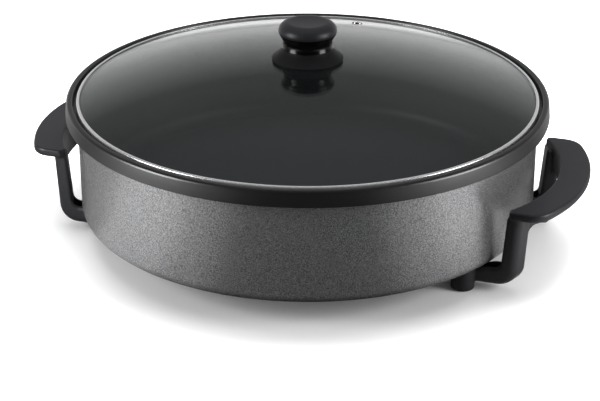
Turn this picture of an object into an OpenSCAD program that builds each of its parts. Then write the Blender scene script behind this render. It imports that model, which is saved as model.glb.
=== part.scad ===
// Round electric skillet with a lift-off glass lid.
// Millimetres. The origin is on the table under the middle of the pan.
// +X runs along the two handles and +Z is up.

/* [Pan] */
// Outer radius of the pan wall
pan_r = 200; // [195:1:206]
// Height of the pan from its underside to the top of the rim
pan_h = 103.5; // [96:0.5:120]
// Height of the pan's underside above the table
stand_h = 22.5; // [22:0.5:27]
// Thickness of the wall
wall_t = 3.5; // [2.5:0.1:5]
// Thickness of the floor
floor_t = 4.5; // [4:0.1:7]
// Radius of the outer corner between floor and wall
corner_r = 9; // [6:0.5:11]
// Radius of the inner corner between floor and wall
inner_corner_r = 12; // [8:0.5:20]
// How far the rim stands out from the wall
rim_over = 10; // [8:0.5:11]
// Height of the rim band
rim_h = 13.5; // [11:0.5:18]
// Thickness of the rim's upstand around the lid
rim_wall = 6.6; // [5:0.1:8]
// Radius of the rim's edges
rim_round = 2.2; // [1:0.1:2.4]

/* [Lid] */
// Gap between the lid's steel band and the rim's upstand
lid_gap = 3.1; // [1:0.1:4]
// Gap between the lid and the ledge that it rests on
lid_seat_gap = 0.2; // [0.1:0.05:0.4]
// Height of the steel band
band_h = 6.6; // [6.4:0.1:8]
// Width of the steel band seen from above
band_w = 2.7; // [2:0.1:4]
// Sheet thickness of the steel band
band_t = 0.8; // [0.5:0.1:1]
// Thickness of the glass
glass_t = 4; // [3:0.1:4.2]
// Gap between the edge of the glass and the band around it
glass_gap = 0.2; // [0.1:0.05:0.4]
// Rise of the glass dome over its edge
dome_rise = 31; // [24:0.5:40]

/* [Steam vent] */
// Distance of the steam vent's middle from the inner edge of the steel band
vent_inset = 46.6; // [28:0.2:86]
// Diameter of the steam vent's bore
vent_bore_d = 4.6; // [3:0.1:6]
// Wall of the vent's tube
vent_tube_t = 0.7; // [0.5:0.1:1]
// Width of the vent's flanges outside its tube
vent_flange_w = 2; // [1.5:0.1:3]
// Thickness of the vent's flanges
vent_flange_t = 0.8; // [0.5:0.1:1.2]

/* [Lid knob] */
// Diameter of the flared skirt
skirt_d = 61.6; // [54:0.2:70]
// Height of the skirt
skirt_h = 11.5; // [9:0.5:13]
// Height of the skirt's upright edge
skirt_edge_h = 2; // [1.5:0.25:4]
// Wall of the skirt
skirt_wall = 2.5; // [2:0.1:3]
// Diameter of the neck
neck_d = 42.8; // [36:0.2:46]
// Height of the neck's straight part
neck_h = 3; // [2:0.5:6]
// Diameter of the cap
cap_d = 50.4; // [48:0.2:58]
// Diameter of the dished top of the cap
cap_flat_d = 32; // [28:1:40]
// Height of the cap above the neck
cap_h = 19.5; // [17:0.5:23]
// Height of the cap's widest line above the neck
cap_brim_h = 11.9; // [9:0.1:14]
// Depth of the dish in the top of the cap
cap_dish = 0.5; // [0.2:0.1:1]
// Diameter of the stem that passes through the skirt
stem_d = 16; // [14:0.5:20]
// Thread diameter of the knob's screw
knob_screw_d = 5; // [4:0.5:6]
// Head diameter of the knob's screw
knob_head_d = 10; // [8:0.5:12]
// Head height of the knob's screw
knob_head_h = 3; // [2:0.25:4]
// Thickness of the washer under the glass
knob_washer_t = 1.2; // [0.8:0.1:2]
// Diameter of the gaskets above and below the glass
gasket_d = 20; // [18:0.5:24]
// Thickness of a gasket
gasket_t = 1.5; // [1:0.1:1.8]
// Play around the knob's screw in the glass
glass_hole_play = 1; // [0.6:0.1:1.4]
// Wall of the brass insert
insert_wall = 1.6; // [1.2:0.1:2]
// Length of the brass insert
insert_len = 12; // [8:0.5:14]
// Depth of the insert inside the stem's foot
insert_deep = 1.5; // [1:0.25:3]

/* [Grip] */
// Inner radius of the crescent grip
grip_r = 133; // [125:1:140]
// Width of the crescent grip
grip_w = 25.7; // [22:0.1:29]
// Thickness of the grip's plate
grip_t = 7.5; // [7:0.25:10]
// How far the grip reaches out from the pan wall
grip_out = 48.6; // [47:0.2:52]
// Height of the grip's top above the table
grip_top = 76; // [70:0.5:84]
// Half of the grip's length, end to middle
grip_half = 83.5; // [82:0.5:88]
// Radius of the grip's outer corners
grip_corner_r = 30; // [20:0.5:34]
// Radius of the grip's inner corners
grip_tip_r = 4.5; // [3:0.5:6]
// Radius of the plate's edges
grip_round = 3; // [2:0.1:3.4]
// Thickness of the apron wall under the grip
apron_t = 4.5; // [3:0.25:6]
// Height of the apron's lower edge above the table, in the middle
apron_low = 45; // [40:0.5:50]
// Half of the width over which the apron is at its lowest
belly_half = 24; // [16:1:34]
// Height of the opening between the legs, at its upper corners
arch_top = 57; // [52:0.5:60]
// Radius of the upper corners of the opening between the legs
arch_r = 7; // [4:0.5:12]

/* [Legs] */
// Distance of the legs' outer faces from the handle's middle
leg_side = 81; // [76:0.5:82]
// Width of a leg
leg_w = 17; // [14:0.5:20]
// Thickness of a leg
leg_t = 8.6; // [7:0.2:10]
// Gap between the pan wall and the foot of the leg
leg_gap = 11.5; // [11:0.5:14]
// How far the top of a leg leans out
leg_lean = 3.5; // [0:0.25:4.5]
// Outer radius of the heel
heel_r = 15; // [11:0.5:17]
// Inner radius of the heel
heel_inner_r = 6.5; // [5:0.5:10]
// Height of the arm's underside above the table
arm_low = 6.8; // [6:0.2:9]
// Gap from the pan's underside to the arm below it
arm_gap = 2.5; // [2:0.1:3.5]
// How far the arm rises again outside the pan
arm_step = 2.5; // [0:0.5:5]

/* [Feet] */
// Diameter of a foot
foot_d = 20; // [17:0.5:22]
// Distance of a foot's middle inside the pan wall
foot_inset = 19.8; // [18.5:0.2:24]
// Distance of a foot's middle inside the leg's outer face
foot_side = 2; // [0:0.5:6]
// Radius of the foot's lower edge
foot_round = 2; // [1:0.25:2.5]
// How far the top of a foot stands proud of the arm
foot_proud = 0.5; // [0.3:0.1:0.8]

/* [Fasteners] */
// Thread diameter of a handle screw
screw_d = 4; // [3.5:0.5:5]
// Head diameter of a handle screw
screw_head_d = 7.6; // [7:0.2:8.4]
// Head height of a handle screw
screw_head_h = 2.8; // [2:0.1:3.2]
// Diameter of the recess in a foot
recess_d = 11; // [10:0.25:12.5]
// Thickness of the plastic that a handle screw clamps
clamp_t = 8; // [6:0.25:9]
// Thickness of a steel washer
washer_t = 0.8; // [0.6:0.1:1.2]
// Diameter of a pan boss
boss_d = 16; // [13:0.5:17]
// Thickness of a heat spacer between boss and arm
spacer_t = 1; // [0.6:0.1:1.4]
// Play around a screw in its hole
screw_play = 0.3; // [0.2:0.05:0.5]
// Play of a thread in its tapped hole
thread_play = 0.1; // [0.05:0.05:0.2]
// Metal left above a blind hole in the floor
blind_skin = 1.2; // [1:0.1:2]

/* [Heating element] */
// Radius of the heating element's ring
element_r = 126; // [110:1:132]
// Diameter of the heating element's tube
element_d = 8; // [6.5:0.1:8.5]
// How much thinner the tube is at each step to its two ends
element_neck = 0.4; // [0.2:0.1:0.6]
// Depth of the element's middle below the pan
element_drop = 8.5; // [7:0.1:9]
// Radius of the bends at the element's ends
bend_r = 18; // [14:0.5:24]
// Half of the distance between the two terminals
pin_side = 11; // [10.5:0.25:12]
// Width of the channel that holds the element
channel_w = 18; // [14:0.5:22]
// Play between the element and its channel
element_play = 0.2; // [0.1:0.05:0.3]

/* [Inlet] */
// Distance of the inlet's back from the pan wall
inlet_depth = 30; // [26:0.5:34]
// How far the inlet reaches out from the pan wall
inlet_out = 6; // [0:0.5:9]
// Outer width of the inlet's shroud
shroud_w = 54; // [52:1:58]
// Wall of the shroud
shroud_t = 2.5; // [2:0.1:3]
// Radius of the shroud's outer corners
shroud_round = 3.6; // [3.2:0.1:3.8]
// Height of the shroud's underside above the table
shroud_low = 3; // [2:0.25:3.5]
// Length of a tab that fixes the shroud
tab_len = 12; // [10:0.5:14]
// Width of a tab
tab_w = 13; // [11:0.5:14]
// Thickness of a tab
tab_t = 4; // [3:0.25:4.5]
// Radius of a tab's corners
tab_round = 3; // [2:0.25:4]
// Diameter of a terminal pin
pin_d = 5; // [4:0.25:5.5]
// Length of a pin beyond its insulator
pin_len = 26; // [20:0.5:27]
// Wall of a terminal insulator
insulator_wall = 1.8; // [1.2:0.1:2.2]
// How far an insulator reaches into the shroud
insulator_out = 4; // [2:0.5:5]
// Gap between the element's block and the shroud
block_gap = 2; // [1:0.5:3]
// Gap from the block's side to the inside of the shroud's wall
block_side = 2.5; // [2:0.25:4]
// Width and height of the probe sleeve
sleeve_w = 10; // [9.5:0.25:11]
// Diameter of the probe bore
probe_d = 6.6; // [6:0.1:7]
// Depth of the probe bore
probe_depth = 46; // [36:1:48]
// Thickness of the probe sleeve's closed end
sleeve_cap = 4; // [3:0.25:5]
// How far the probe sleeve reaches into the shroud
sleeve_out = 22; // [16:0.5:26]
// Thickness of the earth strips
strip_t = 0.8; // [0.6:0.1:1]
// Height of the earth strips
strip_h = 8; // [6:0.25:9]
// How far the earth strips run back along the block
strip_back = 12; // [8:0.5:16]
// How far the earth strips reach into the shroud
strip_out = 24; // [18:0.5:28]
// Thread diameter of an inlet screw
inlet_screw_d = 3; // [2.5:0.25:3.5]
// Head diameter of an inlet screw
inlet_head_d = 5.6; // [5:0.2:6.4]
// Head height of an inlet screw
inlet_head_h = 2.2; // [1.6:0.1:2.6]

/* [Hidden] */
$fn = 96;
// a cut runs past the face it opens by this much
past = 1;

// levels and radii of the pan
rim_top = stand_h + pan_h;
rim_r = pan_r + rim_over;
inner_r = pan_r - wall_t;
upstand_r = rim_r - rim_wall;
ledge_z = rim_top - band_h - lid_seat_gap;
floor_z = stand_h + floor_t;

// lid
band_r = upstand_r - lid_gap;
band_in = band_r - band_w;
glass_r = band_r - band_t - glass_gap;
glass_edge_z = rim_top - band_t;
dome_r = (band_in * band_in + dome_rise * dome_rise) / (2 * dome_rise);
apex_z = glass_edge_z + dome_rise;
function dome_z(r, drop = 0) = apex_z - dome_r + sqrt(pow(dome_r - drop, 2) - r * r);
vent_place = band_in - vent_inset;
vent_tilt = asin(vent_place / dome_r);
vent_tube_d = vent_bore_d + 2 * vent_tube_t;

// knob and its fastening
glass_hole_d = knob_screw_d + 2 * glass_hole_play;
gasket_top = apex_z + gasket_t;
insert_z = gasket_top + insert_deep;
insert_d = knob_screw_d + 2 * insert_wall;
under_z = dome_z(gasket_d / 2, glass_t);
skirt_z = dome_z(skirt_d / 2 - skirt_wall);
neck_z = skirt_z + skirt_h;
cap_z = neck_z + neck_h;
knob_top = cap_z + cap_h;

// handle
grip_c = pan_r + grip_out - grip_w - grip_r;
grip_r_out = grip_r + grip_w;
grip_low = grip_top - grip_t;
foot_r = pan_r - foot_inset;
foot_y = leg_side - foot_side;
foot_x = sqrt(foot_r * foot_r - foot_y * foot_y);
arm_top = stand_h - arm_gap;
foot_top = arm_top + foot_proud;
leg_in = pan_r + leg_gap;
leg_out = leg_in + leg_t;
// the revolved blanks run this far to either side of the handle's middle
grip_sweep = 50;
leg_sweep = 40;

// handle fastening, from the boss down
boss_h = stand_h - foot_top - spacer_t;
clamp_z = foot_top - clamp_t;
tap_deep = boss_h + floor_t - blind_skin;
screw_hole_d = screw_d + 2 * screw_play;

// heating element and inlet, drawn towards +X and turned round to the handle at -X
element_z = stand_h - element_drop;
channel_low = element_z - element_d / 2 - element_play;
bend_a = asin((pin_side + bend_r) / (element_r + bend_r));
bend_x = (element_r + bend_r) * cos(bend_a);
bend_lead = 3;
inlet_back = pan_r - inlet_depth;
inlet_mouth = pan_r + inlet_out;
block_end = inlet_back - block_gap;
block_half = shroud_w / 2 - shroud_t - block_side;
insulator_len = block_gap + shroud_t + insulator_out;
insulator_d = pin_d + 2 * insulator_wall;
sleeve_end = inlet_back + sleeve_out;
sleeve_back = sleeve_end - probe_depth - sleeve_cap;
strip_len = strip_back + block_gap + shroud_t + strip_out;
tab_x = inlet_back + tab_len / 2;
tab_y = shroud_w / 2 + tab_w / 2;
inlet_tap_deep = floor_t - blind_skin;

function arc(c, r, from, to, steps = 12) =
    [for (i = [0 : steps]) c + polar(r, from + (to - from) * i / steps)];
// runs smoothly from 0 to 1, level at both ends
function ease(t) = (1 - cos(180 * t)) / 2;
function polar(r, a) = [r * cos(a), r * sin(a)];
function flip(points) = [for (i = [len(points) - 1 : -1 : 0]) [points[i][0], -points[i][1]]];

// shared outlines and fasteners

module rounded_rect(x0, y0, x1, y1, r) {
    translate([x0 + r, y0]) square([x1 - x0 - 2 * r, y1 - y0]);
    translate([x0, y0 + r]) square([x1 - x0, y1 - y0 - 2 * r]);
    for (x = [x0 + r, x1 - r], y = [y0 + r, y1 - r]) translate([x, y]) circle(r);
}

// a vessel's half section: flat floor at height z, round corner r, straight wall at radius w up to height top
module vessel_half(w, r, z, top) {
    translate([0, z]) square([w - r, top - z]);
    translate([0, z + r]) square([w, top - z - r]);
    translate([w - r, z + r]) circle(r);
}

module ring(outer_d, inner_d, t) {
    difference() {
        cylinder(d = outer_d, h = t);
        translate([0, 0, -past]) cylinder(d = inner_d, h = t + 2 * past);
    }
}

// screw with its head below z = 0 and its thread above
module screw(thread_d, length, head_d, head_h) {
    cylinder(d = thread_d, h = length);
    translate([0, 0, -head_h]) cylinder(d = head_d, h = head_h);
}

module at_feet() {
    for (x = [foot_x, -foot_x], y = [foot_y, -foot_y]) translate([x, y, 0]) children();
}

module at_inlet() {
    rotate([0, 0, 180]) children();
}

module at_inlet_tabs() {
    at_inlet() for (side = [1, -1]) translate([tab_x, side * tab_y, 0]) children();
}

// pan

module pan_half() {
    difference() {
        union() {
            vessel_half(pan_r, corner_r, stand_h, ledge_z);
            translate([inner_r - past, rim_top - rim_h])
                square([rim_r - rim_round - inner_r + past, ledge_z - rim_top + rim_h]);
            rounded_rect(upstand_r, rim_top - rim_h, rim_r, rim_top, rim_round);
        }
        vessel_half(inner_r, inner_corner_r, floor_z, rim_top + past);
    }
}

module pan() {
    color("dimgray") difference() {
        union() {
            rotate_extrude() pan_half();
            at_feet() translate([0, 0, stand_h - boss_h]) cylinder(d = boss_d, h = boss_h + floor_t / 2);
        }
        at_feet() translate([0, 0, stand_h - boss_h - past])
            cylinder(d = screw_d + 2 * thread_play, h = tap_deep + past);
        at_inlet_tabs() translate([0, 0, stand_h - past])
            cylinder(d = inlet_screw_d + 2 * thread_play, h = inlet_tap_deep + past);
    }
}

// heating element

module both_sides() {
    for (side = [0, 1]) mirror([0, side, 0]) children();
}

// sweeps a half section, drawn about x = 0, along part of the element's ring
module along_ring(turn) {
    rotate([0, 0, bend_a]) rotate_extrude(angle = turn) translate([element_r, 0]) children();
}

// and along the bend at the ring's end, starting a few degrees back inside the ring
module along_bend(lead = 0) {
    translate(concat(polar(element_r + bend_r, bend_a), 0)) rotate([0, 0, 180 + bend_a - lead])
        rotate_extrude(angle = 90 - bend_a + lead) translate([bend_r, 0]) children();
}

// the tube is drawn down a little in its bends, and again at its two cold ends
module heating_element() {
    color("gray") at_inlet() both_sides() {
        along_ring(180 - bend_a) translate([0, element_z]) circle(d = element_d);
        along_bend(bend_lead) translate([0, element_z]) circle(d = element_d - element_neck);
        translate([bend_x - past, pin_side, element_z]) rotate([0, 90, 0])
            cylinder(d = element_d - 2 * element_neck, h = block_end - bend_x + past);
    }
}

// the channel lies flat under the pan, with a block where the element's ends and the probe sleeve come out
module element_channel() {
    channel_h = stand_h - channel_low;
    groove_w = element_d + 2 * element_play;
    groove_h = element_d + element_play + past;
    neck_groove_w = groove_w - element_neck;
    color("silver") at_inlet() difference() {
        union() {
            rotate_extrude() translate([element_r - channel_w / 2, channel_low])
                square([channel_w, channel_h]);
            translate([element_r - channel_w / 4, -block_half, channel_low])
                cube([block_end - element_r + channel_w / 4, 2 * block_half, channel_h]);
        }
        along_ring(360 - 2 * bend_a) translate([-groove_w / 2, channel_low - past])
            square([groove_w, groove_h]);
        both_sides() {
            along_bend() translate([-groove_w / 2, channel_low - past]) square([groove_w, groove_h]);
            translate([bend_x - past, pin_side - neck_groove_w / 2, channel_low - past])
                cube([block_end - bend_x + 2 * past, neck_groove_w, groove_h - element_neck / 2]);
        }
        translate([sleeve_back, -sleeve_w / 2 - element_play, channel_low - past])
            cube([block_end - sleeve_back + past, sleeve_w + 2 * element_play,
                  element_z + sleeve_w / 2 - channel_low + past]);
    }
}

module terminal_pins() {
    color("lightgray") at_inlet() for (side = [1, -1]) translate([block_end, side * pin_side, element_z])
        rotate([0, 90, 0]) rotate_extrude() polygon(concat(
            [[0, 0], [pin_d / 2, 0]],
            arc([pin_d / 4, insulator_len + pin_len - pin_d / 4], pin_d / 4, 0, 90, 6),
            [[0, insulator_len + pin_len]]));
}

module terminal_insulators() {
    color("white") at_inlet() for (side = [1, -1]) translate([block_end, side * pin_side, element_z])
        rotate([0, 90, 0]) ring(insulator_d, pin_d + 2 * thread_play, insulator_len);
}

module earth_strips() {
    color("goldenrod") at_inlet() both_sides()
        translate([block_end - strip_back, block_half, element_z - strip_h / 2])
            cube([strip_len, strip_t, strip_h]);
}

module probe_sleeve() {
    color("silver") at_inlet() difference() {
        translate([sleeve_back, -sleeve_w / 2, element_z - sleeve_w / 2])
            cube([sleeve_end - sleeve_back, sleeve_w, sleeve_w]);
        translate([sleeve_end - probe_depth, 0, element_z]) rotate([0, 90, 0])
            cylinder(d = probe_d, h = probe_depth + past);
    }
}

// inlet

// a box open at its mouth, drawn as a section across the inlet; inset makes the section smaller all round
module shroud_tunnel(inset) {
    half = shroud_w / 2 - inset;
    rotate([90, 0, 90]) linear_extrude(inlet_mouth - inlet_back)
        rounded_rect(-half, shroud_low + inset, half, stand_h - inset, shroud_round - inset);
}

module inlet_shroud() {
    window = sleeve_w + 2 * screw_play;
    tabs_half = shroud_w / 2 + tab_w;
    color("black") at_inlet() difference() {
        union() {
            translate([inlet_back, 0, 0]) shroud_tunnel(0);
            translate([0, 0, stand_h - tab_t]) linear_extrude(tab_t)
                rounded_rect(inlet_back, -tabs_half, inlet_back + tab_len, tabs_half, tab_round);
        }
        translate([inlet_back + shroud_t, 0, 0]) shroud_tunnel(shroud_t);
        translate([inlet_back - past, -window / 2, element_z - window / 2])
            cube([shroud_t + 2 * past, window, window]);
        for (side = [1, -1]) {
            translate([inlet_back - past, side * pin_side, element_z]) rotate([0, 90, 0])
                cylinder(d = insulator_d + 2 * screw_play, h = shroud_t + 2 * past);
            translate([inlet_back - past, side * (block_half + strip_t / 2) - strip_t / 2 - screw_play,
                       element_z - strip_h / 2 - screw_play])
                cube([shroud_t + 2 * past, strip_t + 2 * screw_play, strip_h + 2 * screw_play]);
            translate([tab_x, side * tab_y, stand_h - tab_t - past])
                cylinder(d = inlet_screw_d + 2 * screw_play, h = tab_t + 2 * past);
        }
    }
}

module inlet_screws() {
    color("silver") at_inlet_tabs() translate([0, 0, stand_h - tab_t])
        screw(inlet_screw_d, tab_t + inlet_tap_deep - thread_play, inlet_head_d, inlet_head_h);
}

// handles

module plate_half() {
    rounded_rect(grip_r, grip_low, grip_r_out, grip_top, grip_round);
}

// half section of the apron, which runs up into the plate
module apron_half() {
    apron_foot = apron_low - past;
    translate([grip_r, apron_foot]) square([apron_t, grip_low + grip_round - apron_foot]);
}

module grip_blank() {
    translate([grip_c, 0, 0]) rotate([0, 0, -grip_sweep]) rotate_extrude(angle = 2 * grip_sweep) children();
}

// plan of the grip's blunt ends: a straight end with a large outer and a small inner round corner
module grip_plan() {
    outer_y = grip_half - grip_corner_r;
    outer_c = [grip_c + sqrt(pow(grip_r_out - grip_corner_r, 2) - outer_y * outer_y), outer_y];
    outer_a = asin(outer_y / (grip_r_out - grip_corner_r));
    tip_y = grip_half - grip_tip_r;
    tip_c = [grip_c + sqrt(pow(grip_r + grip_tip_r, 2) - tip_y * tip_y), tip_y];
    tip_a = asin(tip_y / (grip_r + grip_tip_r));
    middle = [grip_c, 0];
    end = concat([middle + polar(grip_r - past, tip_a)],
                 arc(tip_c, grip_tip_r, 180 + tip_a, 90, 8),
                 arc(outer_c, grip_corner_r, 90, outer_a, 10),
                 [middle + polar(grip_r_out + past, outer_a), middle + polar(2 * grip_r_out, outer_a)]);
    polygon(concat([[grip_c, 0]], end, flip(end)));
}

// half section of a leg about the pan's axis: upright leg, round heel and the arm that turns in under the pan
module leg_half() {
    arm_end = foot_r - foot_d / 4;
    outside_z = arm_top + arm_step;
    polygon(concat(
        [[arm_end, arm_low]],
        arc([leg_out - heel_r, arm_low + heel_r], heel_r, -90, 0),
        [[leg_out + leg_lean, grip_low + grip_round], [leg_in + leg_lean, grip_low + grip_round]],
        arc([leg_in - heel_inner_r, outside_z + heel_inner_r], heel_inner_r, 0, -90, 8),
        [[pan_r - wall_t / 2, outside_z], [pan_r - corner_r - wall_t / 2, arm_top], [arm_end, arm_top]]));
}

// the arch between the legs trims a leg to its width
module leg(side) {
    blank_w = leg_w + past;
    intersection() {
        rotate([0, 0, -leg_sweep]) rotate_extrude(angle = 2 * leg_sweep) leg_half();
        translate([0, side * (leg_side - blank_w / 2) - blank_w / 2, 0])
            cube([rim_r + grip_out, blank_w, grip_top]);
    }
}

module foot() {
    rotate_extrude() difference() {
        union() {
            square([foot_d / 2 - foot_round, foot_top]);
            translate([0, foot_round]) square([foot_d / 2, foot_top - foot_round]);
            translate([foot_d / 2 - foot_round, foot_round]) circle(foot_round);
        }
        translate([-foot_d, -past]) square([foot_d, foot_top + 2 * past]);
    }
}

// the opening between the legs, drawn across the handle; its upper edge sinks to the apron's belly
module arch_plan() {
    arch_half = leg_side - leg_w;
    corner_y = arch_half - arch_r;
    side = concat(
        [[arch_half, -past]],
        arc([corner_y, arch_top - arch_r], arch_r, 0, 90, 8),
        [for (i = [1 : 12]) [corner_y - (corner_y - belly_half) * i / 12,
                             arch_top - (arch_top - apron_low) * ease(i / 12)]]);
    polygon(concat(side, [for (i = [len(side) - 1 : -1 : 0]) [-side[i][0], side[i][1]]]));
}

module handle() {
    apron_side = leg_side - leg_w / 2;
    difference() {
        union() {
            intersection() {
                grip_blank() plate_half();
                linear_extrude(grip_top + past) grip_plan();
                rotate([90, 0, 90]) linear_extrude(rim_r + grip_out)
                    rounded_rect(-grip_half, grip_low, grip_half, grip_top, grip_round);
            }
            intersection() {
                grip_blank() apron_half();
                translate([grip_c, -apron_side, 0]) cube([2 * grip_r, 2 * apron_side, grip_top]);
            }
            for (side = [1, -1]) {
                leg(side);
                translate([foot_x, side * foot_y, 0]) foot();
            }
        }
        rotate([90, 0, 90]) linear_extrude(rim_r + grip_out) arch_plan();
        for (side = [1, -1]) translate([foot_x, side * foot_y, -past]) {
            cylinder(d = recess_d, h = clamp_z + past);
            cylinder(d = screw_hole_d, h = foot_top + 2 * past);
        }
    }
}

module handle_right() {
    color("black") handle();
}

module handle_left() {
    color("black") rotate([0, 0, 180]) handle();
}

module handle_screws() {
    color("silver") at_feet() translate([0, 0, clamp_z - washer_t])
        screw(screw_d, washer_t + clamp_t + spacer_t + tap_deep - thread_play, screw_head_d, screw_head_h);
}

module handle_washers() {
    color("silver") at_feet() translate([0, 0, clamp_z - washer_t])
        ring(recess_d - 2 * screw_play, screw_hole_d, washer_t);
}

module heat_spacers() {
    color("tan") at_feet() translate([0, 0, foot_top]) ring(boss_d, screw_hole_d, spacer_t);
}

// lid

module lid_glass() {
    edge_a = asin(glass_r / dome_r);
    centre = [0, apex_z - dome_r];
    inner_edge_a = asin(glass_r / (dome_r - glass_t));
    color("lightblue", 0.4) difference() {
        rotate_extrude() polygon(concat(
            arc(centre, dome_r, 90, 90 - edge_a, 28),
            arc(centre, dome_r - glass_t, 90 - inner_edge_a, 90, 28)));
        translate([0, 0, under_z - past]) cylinder(d = glass_hole_d, h = glass_t + 3 * past);
        at_vent() translate([0, 0, -2 * glass_t]) cylinder(d = vent_tube_d + 2 * screw_play, h = 3 * glass_t);
    }
}

// a C of steel sheet folded over the edge of the glass
module lid_band() {
    color("gainsboro") rotate_extrude() difference() {
        translate([band_in, rim_top - band_h]) square([band_w, band_h]);
        translate([band_in - past, rim_top - band_h + band_t])
            square([band_w - band_t + past, band_h - 2 * band_t]);
    }
}

// the vent stands square to the dome, with z = 0 on the outer face of the glass
module at_vent() {
    translate([0, vent_place, dome_z(vent_place)]) rotate([-vent_tilt, 0, 0]) children();
}

module vent_eyelet() {
    flange_r = vent_tube_d / 2 + vent_flange_w;
    color("gainsboro") at_vent() rotate_extrude() {
        translate([vent_bore_d / 2, -glass_t - vent_flange_t])
            square([vent_tube_t, glass_t + 2 * vent_flange_t]);
        for (z = [0, -glass_t - vent_flange_t])
            translate([vent_bore_d / 2, z]) square([flange_r - vent_bore_d / 2, vent_flange_t]);
    }
}

// a flared bell: upright edge, then a double curve up to the neck, hollow underneath
module knob_skirt() {
    edge_r = skirt_d / 2;
    flare_h = skirt_h - skirt_edge_h;
    flare_w = edge_r - neck_d / 2;
    edge_z = skirt_z + skirt_edge_h;
    bore_r = stem_d / 2 + screw_play;
    color("black") rotate_extrude() polygon(concat(
        [[edge_r - skirt_wall, skirt_z], [edge_r, skirt_z]],
        [for (i = [0 : 10]) [edge_r - flare_w * ease(i / 10), edge_z + flare_h * i / 10]],
        [[bore_r, neck_z], [bore_r, neck_z - skirt_wall]],
        [for (i = [6 : -1 : 0]) [edge_r - skirt_wall - flare_w * ease(i / 6),
                                 edge_z + (flare_h - skirt_wall) * i / 6]]));
}

// a mushroom: straight neck, double curve out to the brim, and a round crown with a dished top,
// on a stem down to the gasket
module knob_cap() {
    brim_w = cap_d / 2 - neck_d / 2;
    crown_h = cap_h - cap_brim_h;
    crown_w = cap_d / 2 - cap_flat_d / 2;
    color("black") difference() {
        rotate_extrude() polygon(concat(
            [[0, gasket_top], [stem_d / 2, gasket_top], [stem_d / 2, neck_z], [neck_d / 2, neck_z]],
            [for (i = [0 : 8]) [neck_d / 2 + brim_w * ease(i / 8), cap_z + cap_brim_h * i / 8]],
            [for (a = [15 : 15 : 90]) [cap_flat_d / 2 + crown_w * cos(a), knob_top - crown_h * (1 - sin(a))]],
            [for (f = [0.75 : -0.25 : 0]) [f * cap_flat_d / 2, knob_top - cap_dish * (1 - f * f)]]));
        translate([0, 0, gasket_top - past])
            cylinder(d = knob_screw_d + 2 * screw_play, h = insert_deep + 2 * past);
        translate([0, 0, insert_z]) cylinder(d = insert_d, h = insert_len);
    }
}

module knob_insert() {
    color("goldenrod") translate([0, 0, insert_z]) ring(insert_d, knob_screw_d + 2 * thread_play, insert_len);
}

module knob_gasket() {
    color("dimgray") translate([0, 0, apex_z]) ring(gasket_d, glass_hole_d, gasket_t);
}

module under_gasket() {
    color("dimgray") translate([0, 0, under_z - gasket_t]) ring(gasket_d, glass_hole_d, gasket_t);
}

module knob_washer() {
    color("silver") translate([0, 0, under_z - gasket_t - knob_washer_t])
        ring(gasket_d, knob_screw_d + 2 * screw_play, knob_washer_t);
}

module knob_screw() {
    head_z = under_z - gasket_t - knob_washer_t;
    color("silver") translate([0, 0, head_z])
        screw(knob_screw_d, insert_z + insert_len - past - head_z, knob_head_d, knob_head_h);
}

pan();
element_channel();
heating_element();
terminal_pins();
terminal_insulators();
earth_strips();
probe_sleeve();
inlet_shroud();
inlet_screws();
handle_right();
handle_left();
handle_screws();
handle_washers();
heat_spacers();
lid_glass();
lid_band();
vent_eyelet();
knob_skirt();
knob_cap();
knob_insert();
knob_gasket();
under_gasket();
knob_washer();
knob_screw();
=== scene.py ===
import bpy
import math
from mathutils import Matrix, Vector


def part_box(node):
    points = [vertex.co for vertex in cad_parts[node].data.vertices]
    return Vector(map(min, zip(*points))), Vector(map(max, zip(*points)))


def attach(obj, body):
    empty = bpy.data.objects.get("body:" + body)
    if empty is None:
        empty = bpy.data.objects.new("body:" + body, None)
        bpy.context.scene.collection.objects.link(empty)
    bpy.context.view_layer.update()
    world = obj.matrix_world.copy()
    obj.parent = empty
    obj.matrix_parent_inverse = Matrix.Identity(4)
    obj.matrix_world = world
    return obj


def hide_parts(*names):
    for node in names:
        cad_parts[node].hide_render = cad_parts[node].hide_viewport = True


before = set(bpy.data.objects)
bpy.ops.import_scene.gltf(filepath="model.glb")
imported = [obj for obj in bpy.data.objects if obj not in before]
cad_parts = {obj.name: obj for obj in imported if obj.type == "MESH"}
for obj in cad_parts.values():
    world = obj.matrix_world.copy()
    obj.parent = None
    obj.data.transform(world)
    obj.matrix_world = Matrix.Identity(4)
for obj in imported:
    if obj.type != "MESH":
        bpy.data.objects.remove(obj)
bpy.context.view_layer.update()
bpy.ops.object.select_all(action="DESELECT")
scene = bpy.context.scene
scene.view_settings.view_transform = "Standard"
mm = 0.001
weld = 1e-6                         # points closer than this are one


# camera and studio, drawn in the photograph's own plan and turned into the part's

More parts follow.
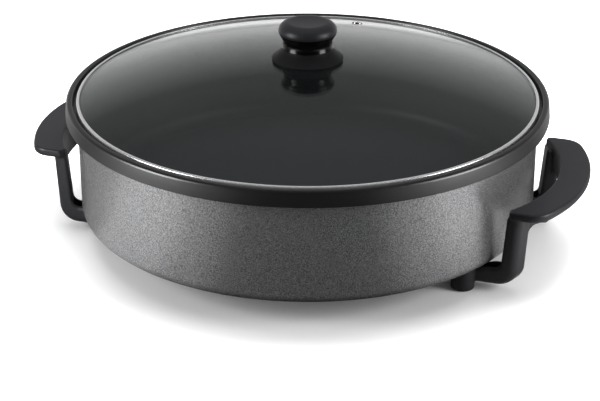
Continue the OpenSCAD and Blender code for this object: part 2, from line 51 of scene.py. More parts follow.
studio = {
    "turn": 18.0,                   # degrees from the photograph's plan to the part's
    "camPlace": (0, -1.399, 0.679),
    "camPitch": 25.2,
    "camYaw": 0.27,
    "lens": 103.5,
    "sensor": 36,
    "clipEnd": 50,
    # what shiny surfaces see, as shares of white, from the back (0) round the sides (0.5) to the front (1)
    "room": ((0.00, 0.70), (0.10, 0.90), (0.22, 0.50), (0.40, 0.15), (0.66, 0.15), (0.90, 0.02)),
    # painted reflection on the floor: for rays other than the eye's it is darker in front and brighter at the
    # sides, so shiny surfaces show highlights there
    "paperRoom": ((0.00, 0.48), (0.10, 0.55), (0.22, 0.30), (0.40, 0.12), (0.56, 0.25), (0.66, 0.60),
                  (0.80, 0.60), (0.90, 0.25), (0.97, 0.04)),
    "roomTop": 0.20,                # share of the room that is left overhead
    "dimming": (0.05, 0.45),        # heights between which it dims, 1 being straight up
    "ambient": 0.25,                # what matt surfaces get from all round
    "floorHalf": 9.0,
    "paper": 0.95,                  # floor as the eye sees it
    "paperRough": 0.9,
    "paperGlow": (0.0, 1.0),        # its own light near the object and far away
    "glowReach": (0.5, 1.5),        # from where to where it grows, as shiny surfaces see it
    "bareReach": (0.19, 0.32),      # the same as the eye sees it; this glow is painted light that lightens the object's shadow on the floor beyond the near end
    "softboxes": {                  # place, aim, size, watts
        "leftBox": ((-1.21, -0.47, 0.46), (0, 0, 0.08), (0.60, 0.88), 16),
        "rightBox": ((1.21, -0.47, 0.46), (0, 0, 0.08), (0.60, 0.88), 14),
        "topBox": ((0.0, 0.60, 1.90), (0, 0, 0.10), (2.30, 1.60), 54),
    },
}


def inPart(place):
    a = math.radians(studio["turn"])
    x, y, z = place
    return Vector((x * math.cos(a) - y * math.sin(a), x * math.sin(a) + y * math.cos(a), z))


def setCamera():
    bpy.ops.object.camera_add(location=inPart(studio["camPlace"]))
    cam = bpy.context.object
    cam.name = "studioCamera"
    heading = math.radians(studio["turn"] + studio["camYaw"])
    cam.rotation_euler = (math.radians(90 - studio["camPitch"]), 0, heading)
    cam.data.lens = studio["lens"]
    cam.data.sensor_width = studio["sensor"]
    cam.data.clip_end = studio["clipEnd"]
    scene.camera = cam


def setLights():
    for name, (place, aim, size, watts) in studio["softboxes"].items():
        here = inPart(place)
        bpy.ops.object.light_add(type="AREA", location=here)
        box = bpy.context.object
        box.name = name
        box.data.shape = "RECTANGLE"
        box.data.size, box.data.size_y = size
        box.data.energy = watts
        box.rotation_euler = (inPart(aim) - here).to_track_quat("-Z", "Y").to_euler()
        # the lid and the pan under it show no bright patch of the box overhead
        box.visible_glossy = box.visible_transmission = name != "topBox"


def combine(tree, kind, first, second):
    node = tree.nodes.new("ShaderNodeMath")
    node.operation = kind
    for socket, value in zip(node.inputs, (first, second)):
        if isinstance(value, (int, float)):
            socket.default_value = value
        else:
            tree.links.new(value, socket)
    return node.outputs[0]


def spanned(tree, value, source, target, shape="LINEAR"):
    node = tree.nodes.new("ShaderNodeMapRange")
    node.interpolation_type = shape
    for key, number in zip(("From Min", "From Max", "To Min", "To Max"), (*source, *target)):
        node.inputs[key].default_value = number
    tree.links.new(value, node.inputs["Value"])
    return node.outputs["Result"]


def roomShare(tree, direction, stops):
    # the level that the stops give for a direction, by how far it points to the front
    unit = tree.nodes.new("ShaderNodeVectorMath")
    unit.operation = "NORMALIZE"
    tree.links.new(direction, unit.inputs[0])
    toFront = tree.nodes.new("ShaderNodeVectorMath")
    toFront.operation = "DOT_PRODUCT"
    toFront.inputs[1].default_value = inPart((0, -1, 0))
    tree.links.new(unit.outputs["Vector"], toFront.inputs[0])
    ramp = tree.nodes.new("ShaderNodeValToRGB")
    ramp.color_ramp.interpolation = "EASE"
    points = ramp.color_ramp.elements
    while len(points) < len(stops):
        points.new(0.5)
    for point, (place, level) in zip(points, stops):
        point.position = place
        point.color = (level, level, level, 1)
    tree.links.new(spanned(tree, toFront.outputs["Value"], (-1, 1), (0, 1)), ramp.inputs["Fac"])
    return ramp.outputs["Color"]


def seenByEye(tree, path):
    # 1 for a ray that shows a surface straight or through glass, with no other bounce on its way
    halfBounce = 0.5                # bounces are counted in whole numbers
    bounces = combine(tree, "ADD", path.outputs["Diffuse Depth"], path.outputs["Glossy Depth"])
    straight = combine(tree, "LESS_THAN", bounces, halfBounce)
    through = combine(tree, "MULTIPLY", path.outputs["Is Transmission Ray"], straight)
    return combine(tree, "MAXIMUM", path.outputs["Is Camera Ray"], through)


def setRoom():
    world = bpy.data.worlds.new("paleRoom")
    scene.world = world
    world.use_nodes = True
    tree = world.node_tree
    sky = tree.nodes["Background"]
    sky.inputs["Color"].default_value = (1, 1, 1, 1)
    path = tree.nodes.new("ShaderNodeLightPath")
    way = tree.nodes.new("ShaderNodeTexCoord").outputs["Generated"]
    height = tree.nodes.new("ShaderNodeSeparateXYZ")
    tree.links.new(way, height.inputs["Vector"])
    overhead = spanned(tree, height.outputs["Z"], studio["dimming"], (1, studio["roomTop"]))
    room = combine(tree, "MULTIPLY", roomShare(tree, way, studio["room"]), overhead)
    shiny = combine(tree, "MULTIPLY", room, path.outputs["Is Glossy Ray"])
    matt = spanned(tree, path.outputs["Is Glossy Ray"], (0, 1), (studio["ambient"], 0))
    lit = combine(tree, "ADD", shiny, matt)
    tree.links.new(combine(tree, "MAXIMUM", lit, seenByEye(tree, path)), sky.inputs["Strength"])


def setFloor():
    bpy.ops.mesh.primitive_plane_add(size=2 * studio["floorHalf"])
    floor = bpy.context.object
    floor.name = "floor"
    paper = bpy.data.materials.new("palePaper")
    paper.use_nodes = True
    tree = paper.node_tree
    shader = tree.nodes["Principled BSDF"]
    shader.inputs["Roughness"].default_value = studio["paperRough"]
    shader.inputs["Specular IOR Level"].default_value = 0.0
    shader.inputs["Emission Color"].default_value = (1, 1, 1, 1)
    path = tree.nodes.new("ShaderNodeLightPath")
    spot = tree.nodes.new("ShaderNodeTexCoord").outputs["Object"]
    eye = seenByEye(tree, path)
    # painted reflection: the floor's colour for bounced rays follows paperRoom, dark in front and bright at
    # the sides
    share = combine(tree, "MAXIMUM", roomShare(tree, spot, studio["paperRoom"]), eye)
    tree.links.new(combine(tree, "MULTIPLY", share, studio["paper"]), shader.inputs["Base Color"])
    reach = tree.nodes.new("ShaderNodeVectorMath")
    reach.operation = "LENGTH"
    tree.links.new(spot, reach.inputs[0])
    glow = spanned(tree, reach.outputs["Value"], studio["glowReach"], studio["paperGlow"], "SMOOTHSTEP")
    # painted light: for the eye the floor glows more with distance, washing out the object's shadow beyond
    # bareReach
    bare = spanned(tree, reach.outputs["Value"], studio["bareReach"], studio["paperGlow"], "SMOOTHSTEP")
    toEye = combine(tree, "MULTIPLY", eye, bare)
    toShine = combine(tree, "MULTIPLY", path.outputs["Is Glossy Ray"], glow)
    shown = combine(tree, "MULTIPLY", share, combine(tree, "MAXIMUM", toEye, toShine))
    tree.links.new(shown, shader.inputs["Emission Strength"])
    floor.data.materials.append(paper)


setCamera()
setLights()
setRoom()
setFloor()
print("studio set")


# finishes: each one is a dictionary of tones, grain, shine and relief, read on object coordinates

plainLook = {                       # what a finish has where its own dictionary doesn't say
    "turned": False, "detail": 2.0, "grainRough": 0.55, "spread": (0.35, 0.65), "cloud": 30, "cloudDetail": 3,
    "cloudSpread": (0.3, 0.7), "relief": 0.1, "depth": 0.1 * mm, "metal": 0.0, "gloss": 0.5,
}


def finish(name, ownLook):
    look = {**plainLook, **ownLook}
    material = bpy.data.materials.new(name)
    material.use_nodes = True
    nodes, links = material.node_tree.nodes, material.node_tree.links
    shader = nodes["Principled BSDF"]
    place = nodes.new("ShaderNodeTexCoord")
    spot = place.outputs["Object"]
    if look["turned"]:              # marks run round the upright axis
        flat = nodes.new("ShaderNodeVectorMath")
        flat.operation = "MULTIPLY"
        flat.inputs[1].default_value = (1, 1, 0)
        links.new(spot, flat.inputs[0])
        reach = nodes.new("ShaderNodeVectorMath")
        reach.operation = "LENGTH"
        links.new(flat.outputs["Vector"], reach.inputs[0])
        height = nodes.new("ShaderNodeSeparateXYZ")
        links.new(spot, height.inputs["Vector"])
        along = nodes.new("ShaderNodeCombineXYZ")
        links.new(reach.outputs["Value"], along.inputs["X"])
        links.new(height.outputs["Z"], along.inputs["Z"])
        spot = along.outputs["Vector"]
    grain = nodes.new("ShaderNodeTexNoise")
    grain.inputs["Scale"].default_value = look["grain"]
    grain.inputs["Detail"].default_value = look["detail"]
    grain.inputs["Roughness"].default_value = look["grainRough"]
    links.new(spot, grain.inputs["Vector"])
    tone = nodes.new("ShaderNodeValToRGB")
    low, high = look["spread"]
    tone.color_ramp.elements[0].position = low
    tone.color_ramp.elements[0].color = (*look["dark"], 1)
    tone.color_ramp.elements[1].position = high
    tone.color_ramp.elements[1].color = (*look["light"], 1)
    links.new(grain.outputs["Fac"], tone.inputs["Fac"])
    links.new(tone.outputs["Color"], shader.inputs["Base Color"])
    cloud = nodes.new("ShaderNodeTexNoise")
    cloud.inputs["Scale"].default_value = look["cloud"]
    cloud.inputs["Detail"].default_value = look["cloudDetail"]
    links.new(place.outputs["Object"], cloud.inputs["Vector"])
    links.new(spanned(material.node_tree, cloud.outputs["Fac"], look["cloudSpread"], look["rough"]),
              shader.inputs["Roughness"])
    relief = nodes.new("ShaderNodeBump")
    relief.inputs["Strength"].default_value = look["relief"]
    relief.inputs["Distance"].default_value = look["depth"]
    links.new(grain.outputs["Fac"], relief.inputs["Height"])
    links.new(relief.outputs["Normal"], shader.inputs["Normal"])
    shader.inputs["Metallic"].default_value = look["metal"]
    shader.inputs["Specular IOR Level"].default_value = look["gloss"]
    return material


hammeredGrey = finish("hammeredGrey", {
    "dark": (0.20, 0.201, 0.206), "light": (0.53, 0.532, 0.54), "spread": (0.34, 0.68), "grain": 950,
    "detail": 1.5, "rough": (0.25, 0.29), "cloud": 14, "relief": 0.42, "depth": 0.22 * mm, "metal": 0.75})
satinBlackRim = finish("satinBlackRim", {
    "dark": (0.005, 0.005, 0.0055), "light": (0.009, 0.009, 0.0096), "grain": 1300, "rough": (0.28, 0.33),
    "cloud": 18, "relief": 0.10, "depth": 0.04 * mm, "gloss": 0.9})
nonStickBlack = finish("nonStickBlack", {
    "dark": (0.018, 0.018, 0.019), "light": (0.034, 0.034, 0.036), "spread": (0.3, 0.7), "grain": 700,
    "rough": (0.36, 0.44), "cloud": 9, "relief": 0.12, "depth": 0.08 * mm, "gloss": 0.2})
polishedSteel = finish("polishedSteel", {
    "dark": (0.62, 0.62, 0.63), "light": (0.80, 0.80, 0.81), "grain": 2400, "turned": True,
    "rough": (0.14, 0.22), "relief": 0.04, "depth": 0.02 * mm, "metal": 1.0})
bandSteel = finish("bandSteel", {
    "dark": (0.74, 0.74, 0.75), "light": (0.86, 0.86, 0.87), "grain": 2400, "turned": True,
    "rough": (0.18, 0.26), "relief": 0.04, "depth": 0.02 * mm, "metal": 0.76})
mouldedBlack = finish("mouldedBlack", {
    "dark": (0.013, 0.0133, 0.0157), "light": (0.021, 0.0214, 0.0246), "grain": 1500,
    "rough": (0.36, 0.44), "cloud": 16, "relief": 0.12, "depth": 0.05 * mm, "gloss": 0.40})
# glossy black for the knob's neck and the cap's underside: its gloss is the real finish, its very dark tone
# is painted shade for the downward-facing underside
glossAndShadeBlack = finish("glossAndShadeBlack", {
    "dark": (0.0012, 0.0012, 0.0013), "light": (0.0025, 0.0025, 0.0027), "grain": 300,
    "rough": (0.15, 0.20), "cloud": 25, "relief": 0.02, "depth": 0.02 * mm, "gloss": 0.27})
skirtBlack = finish("skirtBlack", {
    "dark": (0.006, 0.0061, 0.0068), "light": (0.010, 0.0102, 0.0112), "grain": 1500,
    "rough": (0.46, 0.52), "cloud": 16, "relief": 0.08, "depth": 0.04 * mm, "gloss": 0.08})
knobSatin = finish("knobSatin", {
    "dark": (0.011, 0.0113, 0.0126), "light": (0.018, 0.0184, 0.0204), "grain": 1500,
    "rough": (0.36, 0.42), "cloud": 16, "relief": 0.08, "depth": 0.04 * mm, "gloss": 0.25})
castAluminium = finish("castAluminium", {
    "dark": (0.40, 0.40, 0.41), "light": (0.60, 0.60, 0.60), "grain": 420, "rough": (0.42, 0.55),
    "relief": 0.3, "depth": 0.15 * mm, "metal": 1.0})
oxideSheath = finish("oxideSheath", {
    "dark": (0.11, 0.095, 0.085), "light": (0.24, 0.225, 0.21), "grain": 120, "detail": 5,
    "rough": (0.45, 0.6), "relief": 0.15, "depth": 0.08 * mm, "metal": 0.9})
zincPlate = finish("zincPlate", {
    "dark": (0.55, 0.56, 0.58), "light": (0.72, 0.72, 0.71), "grain": 260, "detail": 4,
    "rough": (0.26, 0.38), "relief": 0.08, "depth": 0.03 * mm, "metal": 1.0})
whiteCeramic = finish("whiteCeramic", {
    "dark": (0.74, 0.73, 0.69), "light": (0.84, 0.83, 0.80), "grain": 500, "rough": (0.5, 0.62),
    "relief": 0.15, "depth": 0.06 * mm})
earthBrass = finish("earthBrass", {
    "dark": (0.52, 0.37, 0.14), "light": (0.70, 0.53, 0.24), "grain": 200, "detail": 4,
    "rough": (0.25, 0.4), "relief": 0.06, "depth": 0.03 * mm, "metal": 1.0})
spacerBoard = finish("spacerBoard", {
    "dark": (0.40, 0.34, 0.24), "light": (0.62, 0.55, 0.42), "grain": 800, "detail": 4,
    "rough": (0.7, 0.85), "relief": 0.4, "depth": 0.1 * mm})
softGasket = finish("softGasket", {
    "dark": (0.03, 0.03, 0.03), "light": (0.05, 0.05, 0.05), "grain": 600, "rough": (0.6, 0.72),
    "relief": 0.1, "depth": 0.05 * mm})


glassLook = {"tint": (0.940, 0.972, 0.970), "shade": (0.91, 0.94, 0.94), "rough": 0.012, "bend": 1.48}


def clearGlassFinish(look):
    material = bpy.data.materials.new("clearGlass")
    material.use_nodes = True
    nodes, links = material.node_tree.nodes, material.node_tree.links
    shader = nodes["Principled BSDF"]
    shader.inputs["Base Color"].default_value = (*look["tint"], 1)
    shader.inputs["Roughness"].default_value = look["rough"]
    shader.inputs["IOR"].default_value = look["bend"]
    shader.inputs["Transmission Weight"].default_value = 1.0
    clear = nodes.new("ShaderNodeBsdfTransparent")
    clear.inputs["Color"].default_value = (*look["shade"], 1)
    path = nodes.new("ShaderNodeLightPath")
    either = nodes.new("ShaderNodeMixShader")       # light passes straight through to what is under the glass
    links.new(path.outputs["Is Shadow Ray"], either.inputs["Fac"])
    links.new(shader.outputs["BSDF"], either.inputs[1])
    links.new(clear.outputs["BSDF"], either.inputs[2])
    links.new(either.outputs["Shader"], nodes["Material Output"].inputs["Surface"])
    return material


clearGlass = clearGlassFinish(glassLook)
print("finishes mixed")


# shaping helpers

def filleted(corners, closed=False, arcSteps=6):
    # turns each corner (x, z, radius) of a section into a short arc
    points = []
    for i, (x, z, radius) in enumerate(corners):
        here = Vector((x, z))
        if radius == 0 or (not closed and i in (0, len(corners) - 1)):
            points.append(here)
            continue
        back = (Vector(corners[i - 1][:2]) - here).normalized()
        on = (Vector(corners[(i + 1) % len(corners)][:2]) - here).normalized()
        half = back.angle(on) / 2
        centre = here + (back + on).normalized() * (radius / math.sin(half))
        start = (here + back * (radius / math.tan(half)) - centre).normalized()
        stop = (here + on * (radius / math.tan(half)) - centre).normalized()
        points += [centre + radius * start.slerp(stop, k / arcSteps) for k in range(arcSteps + 1)]
    return points


def arcPoints(centre, radius, start, stop, steps):
    turns = [start + (stop - start) * k / steps for k in range(steps + 1)]
    return [Vector(centre) + radius * Vector((math.cos(a), math.sin(a))) for a in turns]


def easePoints(start, stop, steps):
    # a double curve from start to stop, upright at both ends
    eased = [((1 - math.cos(math.pi * k / steps)) / 2, k / steps) for k in range(steps + 1)]
    return [Vector((start[0] + (stop[0] - start[0]) * e, start[1] + (stop[1] - start[1]) * t))
            for e, t in eased]


def flarePoints(start, stop, power, steps):
    # a trumpet curve that is steepest at its start and upright at its stop
    left = [((1 - k / steps) ** power, k / steps) for k in range(steps + 1)]
    return [Vector((stop[0] + (start[0] - stop[0]) * u, start[1] + (stop[1] - start[1]) * t))
            for u, t in left]


def drawLine(name, points):
    # one vertex, drawn out from point to point
    bpy.ops.object.select_all(action="DESELECT")
    bpy.ops.mesh.primitive_plane_add(size=mm)
    piece = bpy.context.object
    piece.name = piece.data.name = name
    bpy.ops.object.mode_set(mode="EDIT")
    bpy.ops.mesh.select_mode(type="VERT")
    bpy.ops.mesh.select_all(action="SELECT")
    bpy.ops.mesh.merge(type="CENTER")
    bpy.ops.transform.translate(value=points[0])
    for here, there in zip(points, points[1:]):
        bpy.ops.mesh.extrude_vertices_move(TRANSFORM_OT_translate={"value": there - here})
    bpy.ops.mesh.select_all(action="SELECT")
    bpy.ops.mesh.remove_doubles(threshold=weld)
    return piece


def tidyMesh():
    # merges doubles, turns the faces outward and leaves edit mode
    bpy.ops.mesh.select_all(action="SELECT")
    bpy.ops.mesh.remove_doubles(threshold=2 * weld)
    bpy.ops.mesh.normals_make_consistent(inside=False)
    bpy.ops.object.mode_set(mode="OBJECT")


def turned(name, section, steps):
    # a half section spun all the way round the upright axis
    piece = drawLine(name, [Vector((p.x, 0, p.y)) for p in section])
    bpy.ops.mesh.spin(steps=steps, angle=2 * math.pi, center=(0, 0, 0), axis=(0, 0, 1))
    tidyMesh()
    return piece


def swept(name, section, centreX, start, stop, steps):
    # a closed section spun part of the way round an upright axis at centreX, with its ends filled
    a = math.radians(start)
    ring = [Vector((centreX + p.x * math.cos(a), p.x * math.sin(a), p.y)) for p in section]
    piece = drawLine(name, ring + ring[:1])
    bpy.ops.mesh.spin(steps=steps, angle=math.radians(start - stop), center=(centreX, 0, 0),
                      axis=(0, 0, 1))
    bpy.ops.mesh.select_all(action="SELECT")
    bpy.ops.mesh.remove_doubles(threshold=weld)
    bpy.ops.mesh.select_all(action="SELECT")
    bpy.ops.mesh.fill_holes(sides=0)
    tidyMesh()
    return piece


def drawnOut(name, outline, along):
    # a flat outline filled and drawn out into a block
    piece = drawLine(name, outline + outline[:1])
    bpy.ops.mesh.edge_face_add()
    bpy.ops.mesh.extrude_region_move(TRANSFORM_OT_translate={"value": along})
    tidyMesh()
    return piece


def trimmed(piece, place, away):
    # cuts off what lies on the away side of a plane and fills the cut
    bpy.context.view_layer.objects.active = piece
    bpy.ops.object.mode_set(mode="EDIT")
    bpy.ops.mesh.select_all(action="SELECT")
    bpy.ops.mesh.bisect(plane_co=place, plane_no=away, use_fill=True, clear_outer=True)
    tidyMesh()


def only(*objs):
    bpy.ops.object.select_all(action="DESELECT")
    for obj in objs:
        obj.select_set(True)
    bpy.context.view_layer.objects.active = objs[0]


def settle(piece):
    # puts a piece's place and turn into its mesh
    only(piece)
    bpy.ops.object.transform_apply(location=True, rotation=True, scale=True)


def addModifier(piece, kind, **values):
    only(piece)
    modifier = piece.modifiers.new(kind.lower(), kind)
    for key, value in values.items():
        setattr(modifier, key, value)
    bpy.ops.object.modifier_apply(modifier=modifier.name)


def smooth(piece, degrees):
    only(piece)
    bpy.ops.object.shade_smooth_by_angle(angle=math.radians(degrees))


def pick(piece, kind, test):
    # leaves a piece in edit mode with the edges or faces that pass the test selected
    only(piece)
    bpy.ops.object.mode_set(mode="EDIT")
    bpy.ops.mesh.select_mode(type=kind)
    bpy.ops.mesh.select_all(action="DESELECT")
    bpy.ops.object.mode_set(mode="OBJECT")
    for part in (piece.data.edges if kind == "EDGE" else piece.data.polygons):
        part.select = test(part)
    bpy.ops.object.mode_set(mode="EDIT")


def paintWhere(piece, material, test):
    # gives a finish to the faces whose middle passes the test
    piece.data.materials.append(material)
    pick(piece, "FACE", lambda face: test(face.center))
    piece.active_material_index = len(piece.data.materials) - 1
    bpy.ops.object.material_slot_assign()
    bpy.ops.object.mode_set(mode="OBJECT")


def dress(piece, body, node):
    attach(piece, body)
    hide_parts(node)


# pan

panLow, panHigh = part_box("pan")
pan = {
    "rimR": panHigh.x, "top": panHigh.z, "bossLow": panLow.z,
    "rimOver": 10 * mm, "rimTall": 13.5 * mm, "upstand": 6.6 * mm, "ledgeDrop": 6.8 * mm,
    "wall": 3.5 * mm, "under": 22.5 * mm, "floor": 4.5 * mm, "corner": 9 * mm, "innerCorner": 12 * mm,
    "rimDraft": 1.1 * mm, "rimRound": 2.6 * mm, "lipRound": 1.0 * mm, "rimUnder": 1.2 * mm,
    "ledgeRound": 0.8 * mm, "seatRound": 0.6 * mm,
    "crease": 0.6 * mm, "tuck": 0.05 * mm,          # where the rim meets the wall
    "bossR": 8 * mm, "bossSunk": 1 * mm, "bossSides": 40, "feet": (161.96 * mm, 79 * mm),
    "steps": 240, "arcSteps": 7, "smoothTo": 40, "slack": 0.1 * mm,
}


def makePan(p):
    wallR = p["rimR"] - p["rimOver"]
    innerR = wallR - p["wall"]
    upstandR = p["rimR"] - p["upstand"]
    floorZ = p["under"] + p["floor"]
    ledge = p["top"] - p["ledgeDrop"]
    rimLow = p["top"] - p["rimTall"]
    section = filleted([
        (0, floorZ, 0),
        (innerR, floorZ, p["innerCorner"]),
        (innerR, ledge, p["ledgeRound"]),
        (upstandR, ledge, p["seatRound"]),
        (upstandR, p["top"], p["lipRound"]),
        (p["rimR"] - p["rimDraft"], p["top"], p["rimRound"]),
        (p["rimR"], rimLow, p["rimUnder"]),
        (wallR - p["tuck"], rimLow, p["crease"]),
        (wallR, p["under"], p["corner"]),
        (0, p["under"], 0)], arcSteps=p["arcSteps"])
    piece = turned("panBody", section, p["steps"])
    x, y = p["feet"]
    sunk = p["bossSunk"]            # a boss runs this far into the pan's underside
    bosses = []
    for sx, sy in ((1, 1), (1, -1), (-1, 1), (-1, -1)):
        bpy.ops.mesh.primitive_cylinder_add(
            vertices=p["bossSides"], radius=p["bossR"], depth=p["under"] - p["bossLow"] + sunk,
            location=(sx * x, sy * y, (p["under"] + p["bossLow"] + sunk) / 2))
        bosses.append(bpy.context.object)
        settle(bosses[-1])
    only(piece, *bosses)
    bpy.ops.object.join()

    def inside(c):
        return c.z > floorZ - p["slack"] and math.hypot(c.x, c.y) < innerR + p["slack"]

    piece.data.materials.append(hammeredGrey)
    paintWhere(piece, nonStickBlack, inside)
    paintWhere(piece, satinBlackRim, lambda c: c.z > rimLow - 0.1 * p["slack"] and not inside(c))
    smooth(piece, p["smoothTo"])
    dress(piece, "base", "pan")


makePan(pan)
print("pan turned")


# lid

bandLow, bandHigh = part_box("lid_band")
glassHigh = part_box("lid_glass")[1]
lid = {
    "bandR": bandHigh.x, "bandLow": bandLow.z, "bandTop": bandHigh.z, "glassR": glassHigh.x,
    "bandWide": 2.7 * mm, "sheet": 0.8 * mm, "rise": 31 * mm, "thick": 4 * mm, "holeR": 3.5 * mm,
    "ventInset": 46.6 * mm, "ventBoreR": 2.3 * mm, "ventTubeR": 3 * mm, "ventFlangeR": 5 * mm,
    "ventFlange": 0.8 * mm, "ventLip": 0.3 * mm, "ventEdge": 0.5 * mm, "ventSeat": 0.1 * mm,
    "foldRound": 1.2 * mm, "foldLip": 0.3 * mm, "foldInner": 0.5 * mm,
    "steps": 240, "domeSteps": 48, "foldSteps": 5, "ventSteps": 48, "ventArcs": 4, "smoothTo": 40,
}
lid["bandIn"] = lid["bandR"] - lid["bandWide"]
lid["domeR"] = (lid["bandIn"] ** 2 + lid["rise"] ** 2) / (2 * lid["rise"])
lid["apex"] = lid["bandTop"] - lid["sheet"] + lid["rise"]


def makeGlass(p):
    middle = (0, p["apex"] - p["domeR"])
    inner = p["domeR"] - p["thick"]
    up = math.pi / 2
    top, under = (math.asin(p["glassR"] / r) for r in (p["domeR"], inner))
    hole = math.asin(p["holeR"] / p["domeR"])
    outer = arcPoints(middle, p["domeR"], up - hole, up - top, p["domeSteps"])
    below = arcPoints(middle, inner, up - under, up - hole, p["domeSteps"])
    piece = turned("lidGlass", outer + below + outer[:1], p["steps"])
    piece.data.materials.append(clearGlass)
    smooth(piece, p["smoothTo"])
    dress(piece, "lid", "lid_glass")


def makeBand(p):
    low, high, s = p["bandLow"], p["bandTop"], p["sheet"]
    fold, lip, inFold = p["foldRound"], p["foldLip"], p["foldInner"]
    inner, outer = p["bandIn"], p["bandR"]
    section = filleted([
        (inner, high, lip), (outer, high, fold), (outer, low, fold), (inner, low, lip),
        (inner, low + s, lip), (outer - s, low + s, inFold), (outer - s, high - s, inFold),
        (inner, high - s, lip)], closed=True, arcSteps=p["foldSteps"])
    piece = turned("lidBand", section + section[:1], p["steps"])
    piece.data.materials.append(bandSteel)
    smooth(piece, p["smoothTo"])
    dress(piece, "lid", "lid_band")


def makeVent(p):
    under, f, r = -p["thick"], p["ventFlange"], p["ventFlangeR"]
    lip, edge, seat = p["ventLip"], p["ventEdge"], p["ventSeat"]
    bore, tube = p["ventBoreR"], p["ventTubeR"]
    section = filleted([
        (bore, f, lip), (r, f, edge), (r, 0, seat), (tube, 0, seat),
        (tube, under, seat), (r, under, seat), (r, under - f, edge), (bore, under - f, lip)],
        closed=True, arcSteps=p["ventArcs"])
    piece = turned("ventEyelet", section + section[:1], p["ventSteps"])
    place = p["bandIn"] - p["ventInset"]
    tilt = math.asin(place / p["domeR"])
    piece.rotation_euler = (-tilt, 0, 0)
    piece.location = (0, place, p["apex"] - p["domeR"] * (1 - math.cos(tilt)))
    settle(piece)
    piece.data.materials.append(polishedSteel)
    smooth(piece, p["smoothTo"])
    dress(piece, "lid", "vent_eyelet")


def keepBoxesOff(piece):
    # the boxes light what is under the glass but make no hard patch on it, from whichever side it is seen
    shy = bpy.data.collections.new("noBoxesOn")
    shy.objects.link(piece)
    shy.collection_objects[0].light_linking.link_state = "EXCLUDE"
    for name in studio["softboxes"]:
        bpy.data.objects[name].light_linking.receiver_collection = shy


makeGlass(lid)
keepBoxesOff(bpy.data.objects["lidGlass"])
makeBand(lid)
makeVent(lid)
print("lid turned")


# knob

skirtLow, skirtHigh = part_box("knob_skirt")
capLow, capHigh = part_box("knob_cap")
knob = {
    "skirtLow": skirtLow.z, "skirtTop": skirtHigh.z, "skirtR": skirtHigh.x, "skirtEdge": 2 * mm,
    "skirtWall": 2.5 * mm, "edgeRound": 0.9 * mm, "neckR": 21.4 * mm, "neckTall": 4.9 * mm,
    "skirtFlare": 1.4, "neckFlare": 0.9 * mm,
    "stemLow": capLow.z, "stemR": 8 * mm, "stemPlay": 0.3 * mm, "capTop": capHigh.z, "capR": capHigh.x,
    "brimTall": 10 * mm, "flatR": 16 * mm, "dish": 0.5 * mm, "dishRings": (0.9, 0.75, 0.55, 0.35, 0.15, 0),
    "seam": 0.3 * mm,               # small round where the neck meets the skirt
    "glossShadeDrop": 0.2,               # the glossier finish, whose very dark tone is painted shade for the cap's downward-facing underside, starts this share of the brim's height under its widest place
    "steps": 144, "edgeSteps": 5, "flareSteps": 22, "innerSteps": 16, "seamSteps": 3, "neckSteps": 8,
    "neckPower": 2, "brimSteps": 20, "crownSteps": 14, "smoothTo": 30,
}


def makeSkirt(p):
    low, top, r, wall = p["skirtLow"], p["skirtTop"], p["skirtR"], p["skirtWall"]
    edge, flare = p["edgeRound"], p["skirtFlare"]
    bore = p["stemR"] + p["stemPlay"]
    outer = flarePoints((r, low + p["skirtEdge"]), (p["neckR"], top), flare, p["flareSteps"])
    inner = flarePoints((r - wall, low + p["skirtEdge"]), (p["neckR"] - wall, top - wall), flare,
                        p["innerSteps"])
    section = ([Vector((r - wall, low))]
               + arcPoints((r - edge, low + edge), edge, -math.pi / 2, 0, p["edgeSteps"])
               + outer + [Vector((bore, top)), Vector((bore, top - wall))] + inner[::-1])
    piece = turned("knobSkirt", section + section[:1], p["steps"])
    piece.data.materials.append(skirtBlack)
    smooth(piece, p["smoothTo"])
    dress(piece, "lid", "knob_skirt")


def makeCap(p):
    low, stemR, seam = p["skirtTop"], p["stemR"], p["seam"]
    neckTop = low + p["neckTall"]
    wide = neckTop + p["brimTall"]
    foot = p["neckR"] + p["neckFlare"]
    crownWide, crownTall = p["capR"] - p["flatR"], p["capTop"] - wide
    steps = p["crownSteps"]
    crown = [Vector((p["flatR"] + crownWide * math.cos(a), wide + crownTall * math.sin(a)))
             for a in (math.pi / 2 * k / steps for k in range(1, steps + 1))]
    dish = [Vector((p["flatR"] * f, p["capTop"] - p["dish"] * (1 - f * f))) for f in p["dishRings"]]
    section = ([Vector((0, p["stemLow"])), Vector((stemR, p["stemLow"])), Vector((stemR, low))]
               + arcPoints((foot - seam, low + seam), seam, -math.pi / 2, 0, p["seamSteps"])
               + flarePoints((foot, low + seam), (p["neckR"], neckTop), p["neckPower"], p["neckSteps"])[1:]
               + easePoints((p["neckR"], neckTop), (p["capR"], wide), p["brimSteps"])[1:] + crown + dish)
    piece = turned("knobCap", section, p["steps"])
    piece.data.materials.append(knobSatin)
    # painted shade: the cap below this line takes the far darker glossy black, standing in for the shade of
    # its underside
    paintWhere(piece, glossAndShadeBlack, lambda c: c.z < wide - p["glossShadeDrop"] * p["brimTall"])
    smooth(piece, p["smoothTo"])
    dress(piece, "lid", "knob_cap")


makeSkirt(knob)
makeCap(knob)
print("knob turned")


# handles

